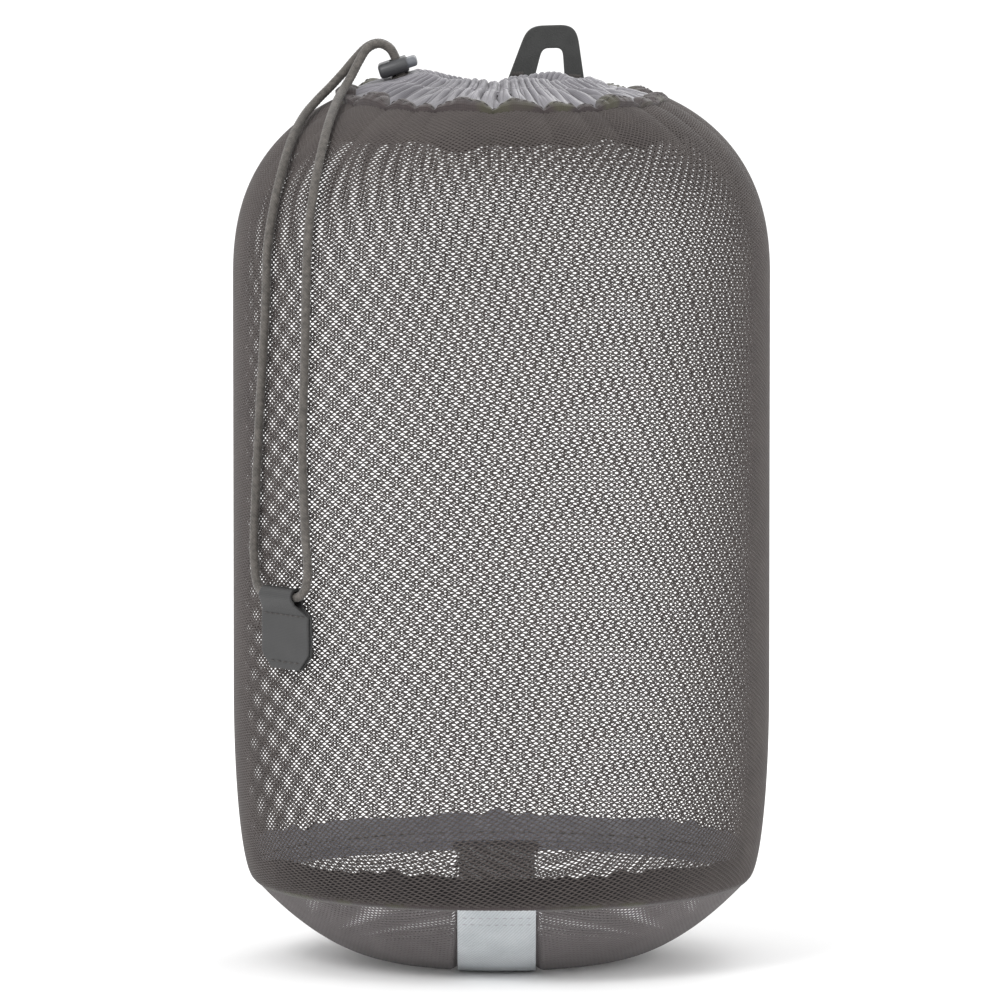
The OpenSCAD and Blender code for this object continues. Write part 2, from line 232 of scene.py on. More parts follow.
def corner_uv(u, v):
    """What each corner of each face has, from the values along the grid's columns and rows."""
    j, i = np.meshgrid(np.arange(len(v) - 1), np.arange(len(u) - 1), indexing="ij")
    j, i = j.ravel(), i.ravel()
    return np.stack([np.stack([u[i], v[j]], 1), np.stack([u[i + 1], v[j]], 1),
                     np.stack([u[i + 1], v[j + 1]], 1), np.stack([u[i], v[j + 1]], 1)], 1)


def grid_uv(points, closed):
    """Lengths across and along the grid in metres, for each corner of its faces."""
    wrapped = np.concatenate([points, points[:, :1]], 1) if closed else points
    across = np.linalg.norm(np.diff(wrapped, axis=1), axis=2).mean(0)
    along = np.linalg.norm(np.diff(points, axis=0), axis=2).mean(1)
    u = np.concatenate([[0], np.cumsum(across)]) * MM
    v = np.concatenate([[0], np.cumsum(along)]) * MM
    return corner_uv(u, v)


def cloth(name, points, thickness, mat, body="sack", closed=False, keep=None, bevel=0):
    """A sheet of that thickness in mm round a grid of points. keep says which faces stay."""
    rows, cols = points.shape[:2]
    faces, uv = grid_faces(rows, cols, closed), grid_uv(points, closed)
    if keep is not None:
        stay = keep(points.reshape(-1, 3)[faces].mean(1))
        faces, uv = faces[stay], uv[stay]
    ob = make(name, points.reshape(-1, 3), faces, mat, body, uv)
    solid = ob.modifiers.new("solid", "SOLIDIFY")
    solid.thickness = thickness * MM
    solid.offset = 0
    solid.use_even_offset = False
    if bevel:
        add_bevel(ob, bevel, 2, 50)
    apply_modifiers(ob)
    return ob


def lit_copy_inside(ob, mat, upward=False):
    """Gives the faces that look at the sack's axis, or up, a material of their own: a lighter copy with
    painted light, for sides that little light reaches.
    """
    count = len(ob.data.polygons)
    centre, normal = np.zeros(count * 3), np.zeros(count * 3)
    ob.data.polygons.foreach_get("center", centre)
    ob.data.polygons.foreach_get("normal", normal)
    centre, normal = centre.reshape(-1, 3), normal.reshape(-1, 3)
    inward = normal[:, 2] > 0.3 if upward else (centre[:, :2] * normal[:, :2]).sum(1) < 0
    ob.data.materials.append(mat)
    ob.data.polygons.foreach_set("material_index", inward.astype(np.int32))


def frames_along(path):
    """Two unit vectors across a path at each of its points, carried along it without twist."""
    along = unit(np.gradient(path, axis=0))
    side = np.zeros_like(path)
    start = np.cross(along[0], [0.7, 0.6, 0.3])
    side[0] = start / np.linalg.norm(start)
    for k in range(1, len(path)):
        s = side[k - 1] - along[k] * side[k - 1].dot(along[k])
        side[k] = s / np.linalg.norm(s)
    return side, np.cross(along, side)


def resample(path, step):
    """The same path with its points about step mm apart."""
    s = lengths(path)
    at = np.linspace(0, s[-1], max(2, int(round(s[-1] / step)) + 1))
    return np.stack([np.interp(at, s, path[:, k]) for k in range(3)], 1)


def tube(name, path, radius, mat, body="sack", sides=10):
    """A round tube along a path in mm; radius is a number or a function of (length, angle)."""
    s = lengths(path)
    side, up = frames_along(path)
    angle = np.arange(sides) / sides * TAU
    r = radius(s[:, None], angle[None, :]) if callable(radius) else np.full((len(path), sides), radius)
    ring = side[:, None] * np.cos(angle)[None, :, None] + up[:, None] * np.sin(angle)[None, :, None]
    verts = (path[:, None] + ring * r[..., None]).reshape(-1, 3)
    uv = corner_uv(np.arange(sides + 1) / sides * TAU * 1.5 * MM, s * MM).reshape(-1, 2)
    groups = [grid_faces(len(path), sides, True), end_caps(len(path), sides)]
    return make(name, verts, groups, mat, body, np.concatenate([uv, np.zeros((2 * sides, 2))]))


def stitches(name, places, along, out, length, width, mat, body="sack", sink=0.25):
    """Short raised threads: each one arches out of the cloth and back into it."""
    places, along, out = (np.asarray(x, float) for x in (places, along, out))
    along, out = unit(along), unit(out)
    side = unit(np.cross(along, out))
    rings, sides = 7, 6
    t = np.linspace(-1, 1, rings)
    angle = np.arange(sides) / sides * TAU
    arch = (1 - t ** 4) * width * 0.55 - width * sink
    thick = width / 2 * np.sqrt(np.maximum(1 - np.abs(t) ** 3, 0.06))
    local = np.stack([
        np.repeat(t * length / 2, sides),
        (thick[:, None] * np.cos(angle)).ravel(),
        (arch[:, None] + thick[:, None] * np.sin(angle)).ravel()], 1)
    verts = (places[:, None] + along[:, None] * local[None, :, :1]
             + side[:, None] * local[None, :, 1:2] + out[:, None] * local[None, :, 2:])
    one = grid_faces(rings, sides, True)
    caps = end_caps(rings, sides)
    base = (np.arange(len(places)) * rings * sides)[:, None, None]
    groups = [(one[None] + base).reshape(-1, 4), (caps[None] + base).reshape(-1, sides)]
    uv = np.zeros((sum(g.size for g in groups), 2))
    return make(name, verts.reshape(-1, 3), groups, mat, body, uv)


# ---- Materials ----
def node(tree, kind, props=(), **inputs):
    """A shader node with its properties set and its inputs linked or given a value."""
    n = tree.nodes.new(kind)
    for key, value in props:
        setattr(n, key, value)
    for key, value in inputs.items():
        socket = n.inputs[int(key[1:])] if key[0] == "i" and key[1:].isdigit() else n.inputs[key]
        if isinstance(value, bpy.types.NodeSocket):
            tree.links.new(value, socket)
        else:
            socket.default_value = value
    return n


def place(tree, cloth_uv=False):
    """Where a point is: on the cloth's own lengths, or in the row frame, in metres."""
    if cloth_uv:
        return node(tree, "ShaderNodeUVMap", [("uv_map", "cloth")]).outputs["UV"]
    return node(tree, "ShaderNodeTexCoord").outputs["Object"]


def math_node(tree, operation, a, b=0.0):
    return node(tree, "ShaderNodeMath", [("operation", operation)], i0=a, i1=b).outputs[0]


def noise(tree, where, size, detail=3.0, rough=0.55):
    """Noise of about that size in metres."""
    n = node(tree, "ShaderNodeTexNoise", i0=where, Scale=1 / size, Detail=detail, Roughness=rough)
    return n.outputs[0]


def ramp(tree, value, stops):
    n = node(tree, "ShaderNodeValToRGB", Fac=value)
    while len(n.color_ramp.elements) < len(stops):
        n.color_ramp.elements.new(0.5)
    for element, (at, color) in zip(n.color_ramp.elements, stops):
        element.position, element.color = at, (*color, 1)
    return n.outputs[0]


def mix(tree, factor, a, b, blend="MIX"):
    n = node(tree, "ShaderNodeMix", [("data_type", "RGBA"), ("blend_type", blend)])
    for index, value in ((0, factor), (6, a), (7, b)):
        if isinstance(value, bpy.types.NodeSocket):
            tree.links.new(value, n.inputs[index])
        else:
            n.inputs[index].default_value = (*value, 1) if index else value
    return n.outputs[2]


def grid_weave(tree, pitch_u, pitch_v):
    """Height of a plain weave: rows of threads that pass over and under, 0 to 1."""
    uv = node(tree, "ShaderNodeSeparateXYZ", i0=place(tree, True))
    a = math_node(tree, "SINE", math_node(tree, "MULTIPLY", uv.outputs[0], math.pi / pitch_u))
    b = math_node(tree, "SINE", math_node(tree, "MULTIPLY", uv.outputs[1], math.pi / pitch_v))
    return math_node(tree, "ABSOLUTE", math_node(tree, "MULTIPLY", a, b))


def twill(tree, pitch, lean=1.0):
    """Height of slanting ribs, 0 to 1."""
    uv = node(tree, "ShaderNodeSeparateXYZ", i0=place(tree, True))
    slant = math_node(tree, "ADD", math_node(tree, "MULTIPLY", uv.outputs[1], lean), uv.outputs[0])
    wave = math_node(tree, "SINE", math_node(tree, "MULTIPLY", slant, math.pi / pitch))
    return math_node(tree, "ABSOLUTE", wave)


def surface(name, stops, mottle, fine, rough, bump, height=None, tint=None, **fixed):
    """A material: its colour runs between two stops in mottles of that size in metres, with painted shade
    where height is low, a fine grain and a bump in metres. tint is a last change to the colour."""
    mat = bpy.data.materials.new(name)
    mat.use_nodes = True
    tree = mat.node_tree
    shader = tree.nodes["Principled BSDF"]
    where = place(tree)
    broad = noise(tree, where, mottle)
    grain = noise(tree, where, fine, 2.0)
    color = ramp(tree, broad, [(0.3, stops[0]), (0.7, stops[1])])
    speck = ramp(tree, grain, [(0.25, (0.72, 0.72, 0.72)), (0.75, (1, 1, 1))])
    color = mix(tree, 0.5, color, speck, "MULTIPLY")
    relief = grain
    if height is not None:
        ribs = height(tree)
        # Painted shade: the low parts of the weave are darkened.
        hollow_shade = ramp(tree, ribs, [(0.0, (0.55, 0.55, 0.55)), (0.5, (1, 1, 1))])
        color = mix(tree, 0.75, color, hollow_shade, "MULTIPLY")
        relief = math_node(tree, "ADD", math_node(tree, "MULTIPLY", grain, 0.35), ribs)
    if tint is not None:
        color = tint(tree, color)
    tree.links.new(color, shader.inputs["Base Color"])
    span = node(tree, "ShaderNodeMapRange", Value=broad)
    span.inputs["To Min"].default_value, span.inputs["To Max"].default_value = rough
    tree.links.new(span.outputs[0], shader.inputs["Roughness"])
    raised = node(tree, "ShaderNodeBump", Height=relief, Distance=bump, Strength=0.6)
    tree.links.new(raised.outputs[0], shader.inputs["Normal"])
    for key, value in fixed.items():
        shader.inputs[key.replace("_", " ")].default_value = value
    return mat


yarn = surface("mesh_yarn", [(0.068, 0.056, 0.053), (0.090, 0.076, 0.071)],
               mottle=0.012, fine=0.0003, rough=(0.62, 0.78), bump=0.00006, Sheen_Weight=0.15)
# base_yarn_painted_light is the same yarn painted lighter: painted light for the base, which sits in shade
# close to the floor.
base_yarn_painted_light = surface("base_yarn_painted_light", [(0.104, 0.091, 0.091), (0.137, 0.122, 0.123)],
                    mottle=0.012, fine=0.0003, rough=(0.62, 0.78), bump=0.00006, Sheen_Weight=0.15)
# binding_tape_painted_light is binding_tape painted much lighter: painted light on the tape's inner faces,
# which sit in shade inside the sack.
inner_tape_painted_light = surface("binding_tape_painted_light", [(0.46, 0.465, 0.53), (0.58, 0.585, 0.66)],
                      mottle=0.006, fine=0.0005, rough=(0.7, 0.85), bump=0.00012,
                      height=lambda t: grid_weave(t, 0.0006, 0.0006), Sheen_Weight=0.2)
tape = surface("binding_tape", [(0.023, 0.019, 0.021), (0.036, 0.030, 0.033)],
               mottle=0.006, fine=0.0005, rough=(0.7, 0.85), bump=0.00012,
               height=lambda t: grid_weave(t, 0.0006, 0.0006), Sheen_Weight=0.2)


def olive_patches(tree, color):
    """The hem's tape is brown, with olive where its edge shows."""
    patch = ramp(tree, noise(tree, place(tree), 0.016, 1.0), [(0.5, (0, 0, 0)), (0.6, (1, 1, 1))])
    return mix(tree, patch, color, (0.046, 0.042, 0.026))


hem_tape = surface("hem_tape", [(0.034, 0.024, 0.025), (0.056, 0.042, 0.041)],
                   mottle=0.005, fine=0.0004, rough=(0.7, 0.85), bump=0.00012,
                   height=lambda t: grid_weave(t, 0.0007, 0.0007), tint=olive_patches, Sheen_Weight=0.2)


def crease_shade(tree, color):
    """Painted shade: darker at the bottom of the gathers."""
    bend = node(tree, "ShaderNodeNewGeometry").outputs["Pointiness"]
    shade = ramp(tree, bend, [(0.455, (0.26, 0.24, 0.26)), (0.52, (1, 1, 1))])
    return mix(tree, 1.0, color, shade, "MULTIPLY")


nylon = surface("collar_nylon", [(0.145, 0.139, 0.156), (0.255, 0.246, 0.270)],
                mottle=0.02, fine=0.0006, rough=(0.42, 0.58), bump=0.00004,
                height=lambda t: grid_weave(t, 0.0004, 0.0004), tint=crease_shade, Sheen_Weight=0.25)
pale_webbing = surface("pale_webbing", [(0.462, 0.490, 0.512), (0.557, 0.585, 0.606)],
                       mottle=0.015, fine=0.0005, rough=(0.55, 0.7), bump=0.00015,
                       height=lambda t: twill(t, 0.0011, 0.6), Sheen_Weight=0.1)
# webbing_painted_light is the strap's webbing painted lighter: painted light on its upper face, which sits in
# shade under the base.
webbing_painted_light = surface("webbing_painted_light", [(0.72, 0.73, 0.74), (0.80, 0.81, 0.82)],
                         mottle=0.015, fine=0.0005, rough=(0.6, 0.75), bump=0.00015,
                         height=lambda t: twill(t, 0.0011, 0.6), Sheen_Weight=0.1)
dark_webbing = surface("dark_webbing", [(0.028, 0.029, 0.028), (0.041, 0.042, 0.041)],
                       mottle=0.006, fine=0.0005, rough=(0.55, 0.72), bump=0.00018, Sheen_Weight=0.1)
coated = surface("coated_fabric", [(0.025, 0.025, 0.0255), (0.034, 0.034, 0.0345)],
                 mottle=0.008, fine=0.0004, rough=(0.38, 0.52), bump=0.00006,
                 height=lambda t: grid_weave(t, 0.0005, 0.0005))
braid = surface("cord_braid", [(0.048, 0.043, 0.037), (0.125, 0.112, 0.100)],
                mottle=0.0016, fine=0.0004, rough=(0.6, 0.75), bump=0.00008,
                height=lambda t: twill(t, 0.0011, 1.2), Sheen_Weight=0.2)
thread = surface("thread", [(0.116, 0.105, 0.086), (0.163, 0.150, 0.124)],
                 mottle=0.004, fine=0.0002, rough=(0.45, 0.6), bump=0.00004)
dark_thread = surface("dark_thread", [(0.037, 0.032, 0.030), (0.061, 0.053, 0.049)],
                      mottle=0.004, fine=0.0002, rough=(0.45, 0.6), bump=0.00004)
pale_thread = surface("pale_thread", [(0.284, 0.273, 0.299), (0.378, 0.362, 0.394)],
                      mottle=0.004, fine=0.0002, rough=(0.4, 0.55), bump=0.00004)


def worn_edges(tree, color):
    """Moulded edges catch a little wear."""
    edge = node(tree, "ShaderNodeNewGeometry").outputs["Pointiness"]
    worn = ramp(tree, edge, [(0.52, (0, 0, 0)), (0.62, (0.5, 0.5, 0.5))])
    return mix(tree, worn, color, (0.16, 0.16, 0.17))


lock_plastic = surface("lock_plastic", [(0.032, 0.033, 0.035), (0.042, 0.043, 0.046)],
                       mottle=0.006, fine=0.00025, rough=(0.34, 0.46), bump=0.00003, tint=worn_edges)
plunger_plastic = surface("plunger_plastic", [(0.110, 0.118, 0.134), (0.137, 0.144, 0.160)],
                          mottle=0.005, fine=0.00025, rough=(0.34, 0.46), bump=0.00003, tint=worn_edges)
wire = surface("spring_wire", [(0.50, 0.50, 0.52), (0.62, 0.62, 0.63)],
               mottle=0.001, fine=0.0001, rough=(0.22, 0.34), bump=0.00001, Metallic=1.0)


def plain_floor():
    """Matt and pale, with a faint broad unevenness."""
    mat = bpy.data.materials.new("floor")
    mat.use_nodes = True
    tree = mat.node_tree
    shader = tree.nodes["Principled BSDF"]
    broad = noise(tree, place(tree), 4.0, 1.0)
    color = ramp(tree, broad, [(0.3, (0.90, 0.90, 0.90)), (0.7, (0.915, 0.915, 0.915))])
    tree.links.new(color, shader.inputs["Base Color"])
    shader.inputs["Roughness"].default_value = 0.95
    shader.inputs["Specular IOR Level"].default_value = 0.1
    return mat


# ---- Drawcord: the free run, in the order it is drawn out of the channel ----
CORD_PTS = np.array([
    [-33.2, 1.7, 294.6], [-34.4, 1.7, 298.2], [-35.6, 1.7, 301.9], [-37.4, 1.7, 304.6],
    [-40.8, 1.6, 306.0], [-44.6, 1.0, 304.8], [-48.5, 0.0, 301.0], [-52.5, -2.0, 296.4],
    [-56.8, -5.0, 291.9], [-61.4, -9.5, 287.5], [-65.7, -17.1, 282.7], [-69.5, -28.9, 275.9],
    [-72.6, -40.3, 266.1], [-75.2, -46.1, 254.7], [-77.2, -48.5, 241.2], [-77.8, -48.9, 222.0],
    [-79.6, -45.6, 192.0], [-81.0, -43.0, 165.0], [-81.8, -41.4, 146.0], [-81.7, -42.6, 138.0],
    [-81.0, -45.5, 131.6], [-79.6, -48.8, 128.7], [-77.2, -52.3, 127.8], [-72.6, -58.0, 127.8],
    [-68.0, -63.8, 127.8], [-65.8, -66.8, 129.0], [-64.2, -68.4, 132.4], [-63.8, -67.7, 139.0],
    [-64.6, -66.0, 150.0], [-65.5, -64.6, 177.0], [-64.6, -65.6, 210.0], [-63.8, -65.6, 242.2],
    [-62.2, -61.7, 258.4], [-59.9, -52.9, 271.1], [-57.3, -39.7, 281.4], [-54.8, -25.0, 287.8],
    [-52.6, -14.5, 291.4], [-50.0, -9.0, 295.4], [-47.4, -5.4, 300.2], [-44.6, -3.2, 304.4],
    [-40.8, -2.0, 306.0], [-37.4, -1.7, 304.6], [-35.6, -1.7, 301.9], [-34.4, -1.7, 298.2],
    [-33.2, -1.7, 294.6]])
CORD_R = 1.5


def through(points, per=24):
    """A smooth curve through all the points."""
    p = np.concatenate([points[:1], points, points[-1:]])
    t = (np.arange(per) / per)[:, None]
    out = []
    for k in range(1, len(p) - 2):
        a, b, c, d = p[k - 1], p[k], p[k + 1], p[k + 2]
        out.append(0.5 * (2 * b + (c - a) * t + (2 * a - 5 * b + 4 * c - d) * t ** 2
                          + (3 * b - a - 3 * c + d) * t ** 3))
    return np.concatenate(out + [points[-1:]])


def braided(s, angle):
    """Radius of a braided cord: small pillows where its strands pass over each other."""
    a, b = 4 * angle + s * math.pi / 1.3, 4 * angle - s * math.pi / 1.3
    return CORD_R * (0.89 + 0.13 * np.abs(np.sin(a) * np.sin(b)) ** 0.6)


cord_path = resample(through(CORD_PTS), 0.26)
cord_tail = tube("cord_tail", cord_path, braided, braid, sides=32)
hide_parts("drawcord_tail")


# ---- Mesh fabric: a net of six-sided openings with raised threads between them ----
CELL_W, ROW_H, LINK = 2.67, 0.835, 0.28     # width of a cell, height of a row, upright link between cells
OPEN = 0.71                                 # size of the opening in its cell
RIDGE, VALLEY = 0.12, 0.70                  # depths of the threads' crown and of the openings' edges
BASE_VALLEY = 0.42                          # the same edges' depth in the base
COLUMNS, CLIMB = 210, 54                    # cells round the tube, and half the rows they climb in one turn


def net_lattice(low, high, cols, cell_w, row_h, climb=None):
    """Cells of a honeycomb: (n, 6, 2) corners in mm, and a whole number for each corner that cells share.
    With climb the rows run up a spiral that closes on itself after one turn."""
    j, i = np.meshgrid(np.arange(low, high), np.arange(cols), indexing="ij")
    j, i = j.ravel(), i.ravel()
    half = 2 * i + j % 2
    u = np.stack([half, half + 1, half + 1, half, half - 1, half - 1], 1)
    v = np.stack([2 * j - 1, 2 * j, 2 * j + 1, 2 * j + 2, 2 * j + 1, 2 * j], 1)
    slope = row_h * climb / cols if climb else 0
    height = np.floor_divide(v, 2) * row_h + np.where(v % 2 == 0, -LINK / 2, LINK / 2) + slope * u
    corners = np.stack([u * 0.5 * cell_w, height], -1)
    if climb:
        turns = np.floor_divide(u, 2 * cols)
        u, v = u - 2 * cols * turns, v + 4 * climb * turns
    return corners, (v + 10000) * 10000 + u + 1


def net_mesh(name, corners, keys, to_point, mat, valley=VALLEY):
    """The net as a mesh: shared corners on the threads' crowns, and each cell's opening deeper."""
    unique, first, inverse = np.unique(keys.ravel(), return_index=True, return_inverse=True)
    crown = corners.reshape(-1, 2)[first]
    centre = corners.mean(1, keepdims=True)
    edge = centre + (corners - centre) * OPEN
    edge = centre + (edge - centre) * (1.0 - 0.10 * (np.arange(6) % 3 == 0))[None, :, None]
    verts = np.concatenate([to_point(crown, RIDGE), to_point(edge.reshape(-1, 2), valley)])
    n, ring = len(corners), np.arange(6)
    outer = inverse.reshape(n, 6)
    inner = len(unique) + np.arange(n * 6).reshape(n, 6)
    nxt = (ring + 1) % 6
    faces = np.stack([outer[:, ring], outer[:, nxt], inner[:, nxt], inner[:, ring]], -1).reshape(-1, 4)
    return make(name, verts, faces, mat)


LEAN = CLIMB * 2 * ROW_H / (TAU * BODY_R)    # how far the rows lean, as a slope


def on_tube(uv, depth):
    s = np.clip(uv[:, 1], 0, WALL_LEN)
    theta = uv[:, 0] / (COLUMNS * CELL_W) * TAU - LEAN * s / BODY_R + 0.3
    theta = theta + 0.02 * smoothstep(s, 120, WALL_LEN) + 0.006 * np.sin(s / 37)
    stray = 0.45 * np.sin(3 * theta + s / 50) + 0.12 * np.sin(7 * theta - s / 31)
    s = s + stray * smoothstep(s, 0, 40) * (1 - smoothstep(s, WALL_LEN - 40, WALL_LEN))
    return wall_point(theta, s, depth)


corners, keys = net_lattice(-2 * CLIMB - 2, int(WALL_LEN / ROW_H) + 3, COLUMNS, CELL_W, ROW_H, CLIMB)
centre = corners.mean(1)[:, 1]
inside = (centre > 0) & (centre < WALL_LEN)
mesh_tube = net_mesh("mesh_tube", corners[inside], keys[inside], on_tube, yarn)
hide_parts("mesh_body")

# The base is a flat disc of the same net, drawn over the dish by lengths along its slope
dish_r = np.linspace(0, SEAM_R - 0.1, 400)
dish_s = lengths(np.stack([dish_r, dish_z(dish_r)], 1))
DISC_R = dish_s[-1]
DISC_MID = DISC_R + 2                       # the disc's centre in its lattice


def strap_lift(x):
    """How far the base mesh rises to pass over the strap."""
    half = STRAP_W / 2
    return 1.55 * (1 - smoothstep(np.abs(x - STRAP_X), half + 0.4, half + 1.6))


def on_dish(uv, depth):
    x, y = uv[:, 0] - DISC_MID, uv[:, 1] - DISC_MID
    flat_r = np.maximum(np.hypot(x, y), 1e-6)
    r = np.interp(flat_r, dish_s, dish_r)
    x, y = x * r / flat_r, y * r / flat_r
    return np.stack([x, y, dish_z(r) + strap_lift(x) + depth], 1)


side = 2 * DISC_MID
corners, keys = net_lattice(0, int(side / ROW_H) + 1, int(side / CELL_W) + 1, CELL_W, ROW_H)
centre = corners.mean(1) - DISC_MID
inside = np.hypot(centre[:, 0], centre[:, 1]) < DISC_R
mesh_disc = net_mesh("mesh_disc", corners[inside], keys[inside], on_dish, base_yarn_painted_light,
                     BASE_VALLEY)
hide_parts("mesh_base")

# The two meshes' edges turned in together at the base seam
theta = np.linspace(0, TAU, 720, endpoint=False)
rim = [(81.1, 25.7, 0.3), (81.9, 26.4, 0.1), (82.5, 27.0, 0.0), (82.65, 27.7, 0.1), (82.7, 28.6, 0.35)]
knit = 0.10 * np.sin(theta * 260)
rim_points = np.stack([polar(theta, r - d + knit, np.full_like(theta, z)) for r, z, d in rim])
seam_fold = cloth("base_seam_fold", rim_points, 0.35, hem_tape, closed=True)
lit_copy_inside(seam_fold, inner_tape_painted_light)

# ---- Base seam: bound allowance turned up against the inside of the wall ----
ragged = 0.55 * wobble(theta, 3, 20, 60) + 0.6 * wobble(theta, 5, 4, 14)
band_rows = []
for t in np.linspace(0, 1, 14):
    s = 0.6 + t * (10.6 + ragged)
    inward = 1.5 + 0.44 * t * wobble(theta, 8, 9, 34) + 0.3 * t
    band_rows.append(wall_point(theta, s, np.maximum(inward, 1.35)))
base_band = cloth("base_seam_tape", np.stack(band_rows), 0.8, tape, closed=True, bevel=0.15)
lit_copy_inside(base_band, inner_tape_painted_light)
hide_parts("base_seam_binding")
at = (np.arange(150) + 0.5) / 150 * TAU
seam_s = np.full_like(at, 4.6)
here, ahead = wall_point(at, seam_s, 2.15), wall_point(at + 0.001, seam_s, 2.15)
base_stitches = stitches("base_seam_stitches", here, ahead - here, -polar(at, 1, 0 * at), 2.5, 0.4, thread)
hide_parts("base_seam_stitching")

# ---- Side seam: a folded tape down the inside ----
TAPE_HALF = 5.0
across = np.linspace(-TAPE_HALF, TAPE_HALF, 15)
strip = []
for s in np.linspace(14, WALL_LEN - 36, 150):
    r = np.interp(s, WALL_S, WALL_P[:, 0])
    edge = 1 + 0.03 * math.sin(s * 0.9) + 0.02 * math.sin(s * 2.3)
    a = SIDE_SEAM_A + across * edge / r
    depth = 1.5 + 0.25 * (1 + math.sin(s * 0.35)) * (across / TAPE_HALF) ** 2 + 0.18 * np.cos(across * 1.9)
    strip.append(wall_point(a, np.full_like(a, s), depth))
side_tape = cloth("side_seam_tape", np.stack(strip), 0.7, tape, bevel=0.12)
lit_copy_inside(side_tape, inner_tape_painted_light)
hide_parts("side_seam_binding")
at = np.arange(20, WALL_LEN - 42, 3.4)
for_angle = np.full_like(at, SIDE_SEAM_A)
here, ahead = wall_point(for_angle, at, 2.2), wall_point(for_angle, at + 0.5, 2.2)
inward = np.tile([-math.cos(SIDE_SEAM_A), -math.sin(SIDE_SEAM_A), 0], (len(at), 1))
side_stitches = stitches("side_seam_stitches", here, ahead - here, inward, 2.6, 0.4, thread)
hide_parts("side_seam_stitching")


# ---- Collar: thin nylon, gathered on the cord ----
COLLAR_EDGE_R = 54.6                        # where the collar ends under the mesh's edge


def ridges(phase):
    """Soft ridges with sharp valleys, -1 to 1."""
    return 2 * np.abs(np.sin(phase / 2)) ** 0.85 - 1


# Height of the mouth's rim against its mean, in mm, at angles round the sack: it sinks at the back
RIM_AT = [0, 20, 55, 84, 97, 108, 125, 148, 165, 258, 267, 276, 330, 360]
RIM_UP = [-2.4, -3.3, -2.2, -3.8, -6.6, -4.2, -3.6, -0.6, 0, -0.2, -1.3, -0.2, -1.2, -2.4]
rim_turn = np.arange(0, 361)
rim_up = np.interp(rim_turn, RIM_AT, RIM_UP)
soften = np.hanning(19)[1:-1] / np.hanning(19).sum()
rim_up = np.convolve(np.concatenate([rim_up[-9:-1], rim_up, rim_up[1:9]]), soften, "valid")


def rise(theta):
    """How the mouth's rim goes up and down, in mm."""
    wave = 0.35 * np.sin(5 * theta + 2.0) + 0.3 * np.sin(9 * theta)
    calm = 1 - hill(theta, 180, 16)
    return calm * (wave + np.interp(np.degrees(theta) % 360, rim_turn, rim_up))


def fold_height(theta, r):
    """How far the gathers stand out from the collar's slope at radius r, in mm."""
    drift = 0.005 * np.sin(3 * theta + r * 0.11)
    bent = 58 * (theta + 0.012 * np.sin(r * 0.35 + 4 * theta))
    fine = ridges(bent + 2.6 * np.sin(5 * theta + 1) + 1.7 * np.sin(11 * theta + 2))
    finer = ridges(101 * (theta + drift) + 2 * np.sin(4 * theta))
    fine = fine * (0.7 + 0.3 * np.sin(7 * theta + 0.7)) + 0.3 * finer
    coarse = 2 * lobe(theta) - 1 + 0.45 * ridges(49 * theta + 2 * np.sin(6 * theta) + r * 0.05)
    w = smoothstep(r, 37, 53)
    size = np.interp(r, [26, 30, 34, 36, 39, 44, 50, 55], [0.55, 0.8, 0.8, 0.55, 1.3, 1.45, 0.9, 0.35])
    near_lock = 1 - 0.75 * hill(theta, 180, 9) * (1 - smoothstep(r, 40, 46))
    return size * near_lock * ((1 - w) * fine + w * coarse)


def collar_z(theta, r):
    """The collar's slope under its folds, in mm."""
    return cone_z(r) - 0.3 + rise(theta) * (1 - smoothstep(r, 31, 49))


def collar_point(theta, r):
    """The outside of the collar's slope at radius r."""
    sag = 0.6 * (1 - hill(theta, 180, 20))
    sag = sag + (2.0 * hill(theta, 20, 45) + 2.2 * hill(theta, 96, 6)) * smoothstep(r, 33, 38)
    h = fold_height(theta, r)
    return polar(theta, r + h * math.sin(CONE_A), collar_z(theta, r) - sag + h * math.cos(CONE_A))


theta = np.linspace(0, TAU, 1440, endpoint=False)
collar_rows = []
for r in np.linspace(38.6, 33.6, 6):                      # the hem inside the channel's seam
    gap = 1.0 + (36.5 - min(r, 36.5)) * 0.8
    collar_rows.append(polar(theta, r, collar_z(theta, r) - gap + 0.35 * fold_height(theta, 30)))
for a in np.radians(np.linspace(-52, -276, 22)):          # round the cord
    size = TUBE_R - 0.3 + fold_height(theta, 29.0) * 0.8
    z = CHANNEL_Z + rise(theta) + size * math.sin(a)
    collar_rows.append(polar(theta, CHANNEL_R + size * math.cos(a), z))
for r in np.concatenate([np.linspace(31.2, 37, 9), np.linspace(37.8, COLLAR_EDGE_R, 24)]):
    collar_rows.append(collar_point(theta, r))

LOCK_O = np.array([-34.55, 0, 298.49])
LOCK_X = np.array([math.cos(CONE_A), 0, math.sin(CONE_A)])
LOCK_Y = np.array([0.0, 1, 0])
LOCK_Z = np.array([-math.sin(CONE_A), 0, math.cos(CONE_A)])


def outside_exit(p):
    """Faces of the collar that stay: all but the oval hole that the cord comes out of."""
    d = p - LOCK_O
    x, y, z = d @ LOCK_X, d @ LOCK_Y, d @ LOCK_Z
    y = np.maximum(np.abs(y) - 1.9, 0)
    return ~((x ** 2 + y ** 2 < 2.1 ** 2) & (z > -5.6) & (z < 0))


collar = cloth("collar_cloth", np.stack(collar_rows), 0.3, nylon, closed=True,
               keep=outside_exit)
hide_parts("collar")

# The cord inside the channel
gap = math.radians(9)
a = np.linspace(math.pi + gap, 3 * math.pi - gap, 900)
loop_path = polar(a, CHANNEL_R, CHANNEL_Z + rise(a))
cord_loop = tube("cord_in_channel", loop_path, braided, braid, sides=20)
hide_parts("drawcord_loop")


